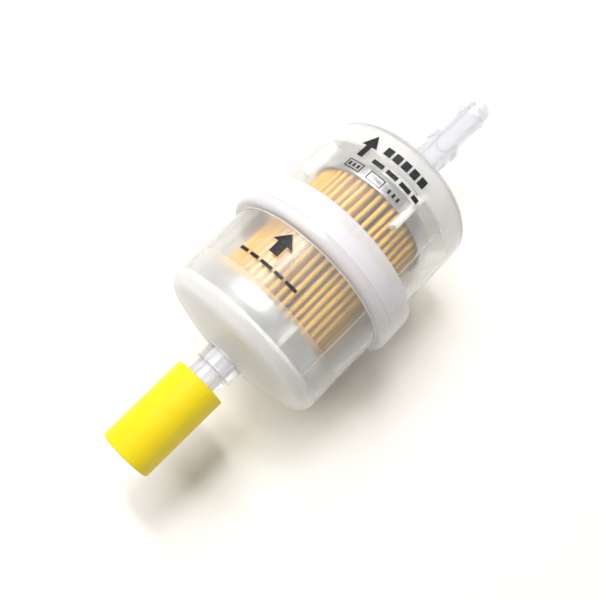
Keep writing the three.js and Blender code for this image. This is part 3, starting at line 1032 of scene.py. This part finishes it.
def inlet_print():
    marks = arrow(-14.6, 6.4, 84, 7.0, 3.2)
    for start, end in ((66, 72), (74, 80), (82, 90), (92, 98), (100, 108)):
        marks.append(bar(-17.6, 0.9, start, end))
    return printed("inlet_print", marks, inlet_wall)


inlet_bowl()
outlet_bowl()
weld_ring()
inlet_end_cap()
outlet_end_cap()
potting("inlet_potting_disc", "inlet_potting", INLET_POT_START, PAPER_START, 0)
potting("outlet_potting_disc", "outlet_potting", PAPER_END, OUTLET_POT_END, CAP_NECK + FIT)
pleated_paper()
seam_clip()
support_tube()
outlet_seal()
transit_cap()
outlet_print()
inlet_print()

# ---- Floor, light and camera ----


def floor():
    """A plain pale sheet with a faint tooth, level with the bottom of the weld band."""
    level = cad_box[0].z
    half = 3.0
    mesh = bpy.data.meshes.new("floor")
    corners = [(-half, -half, level), (half, -half, level), (half, half, level), (-half, half, level)]
    mesh.from_pydata(corners, [], [(0, 1, 2, 3)])
    sheet = bpy.data.objects.new("floor", mesh)
    bpy.context.scene.collection.objects.link(sheet)
    surface = Surface("floor_sheet")
    tooth = surface.noise(0.5, 3)
    wash = surface.noise(30, 2)
    color = surface.ramp(wash, (0.3, (0.90, 0.875, 0.825)), (0.7, (0.915, 0.89, 0.84)))
    surface.bump(tooth, 0.05)
    mesh.materials.append(surface.done(base_color=color, roughness=0.75, specular_ior_level=0.2))


def panel(name, direction, distance, size, radiance, color=(1, 1, 1), glossy=True):
    """A rectangular softbox towards a direction, wide along X and tall across it."""
    lamp = bpy.data.lights.new(name, "AREA")
    lamp.shape = "RECTANGLE"
    lamp.size, lamp.size_y = size
    lamp.energy = radiance * math.pi * size[0] * size[1]
    lamp.color = color
    holder = bpy.data.objects.new(name, lamp)
    bpy.context.scene.collection.objects.link(holder)
    away = Vector(direction).normalized()
    across = Vector((1, 0, 0)) - away * away.x
    across.normalize()
    turn = Matrix((across, away.cross(across), away)).transposed()
    holder.matrix_world = Matrix.Translation(away * distance) @ turn.to_4x4()
    holder.visible_camera = False
    holder.visible_glossy = glossy


def world():
    """A pale room: bright overhead, greyer towards the horizon."""
    sky = bpy.data.worlds.new("room")
    bpy.context.scene.world = sky
    sky.use_nodes = True
    nodes, links = sky.node_tree.nodes, sky.node_tree.links
    place = nodes.new("ShaderNodeTexCoord")
    parts = nodes.new("ShaderNodeSeparateXYZ")
    links.new(place.outputs["Generated"], parts.inputs[0])
    ramp = nodes.new("ShaderNodeValToRGB")
    links.new(parts.outputs[2], ramp.inputs[0])
    stops = ((0.0, (0.62, 0.585, 0.50)), (0.35, (0.66, 0.63, 0.57)), (1.0, (0.80, 0.82, 0.86)))
    while len(ramp.color_ramp.elements) < len(stops):
        ramp.color_ramp.elements.new(0.5)
    for element, (position, color) in zip(ramp.color_ramp.elements, stops):
        element.position = position
        element.color = (*color, 1)
    links.new(ramp.outputs[0], nodes["Background"].inputs[0])
    nodes["Background"].inputs[1].default_value = 0.42


def camera():
    """The camera looks down on the filter from beyond the capped end."""
    azimuth, elevation = math.radians(313.26), math.radians(68.19)
    aim = Vector((-11.6, -3.0, 0)) * MM
    back = Vector((
        math.sin(azimuth) * math.cos(elevation),
        -math.cos(azimuth) * math.cos(elevation),
        math.sin(elevation),
    ))
    lens = bpy.data.cameras.new("camera")
    lens.lens = 35.18
    lens.sensor_width = 36
    lens.clip_start, lens.clip_end = 0.01, 20
    holder = bpy.data.objects.new("camera", lens)
    bpy.context.scene.collection.objects.link(holder)
    holder.location = aim + back * 153.9 * MM
    holder.rotation_mode = "QUATERNION"
    holder.rotation_quaternion = (-back).to_track_quat("-Z", "Y")
    bpy.context.scene.camera = holder


floor()
world()
panel("window", (0.02, 0.4, 0.915), 1.2, (0.85, 0.65), 7.4, (0.99, 0.99, 1.0), False)
panel("overhead", (0.255, 0.205, 0.945), 0.9, (0.075, 0.23), 45.0)
camera()
bpy.context.scene.view_settings.view_transform = "Standard"
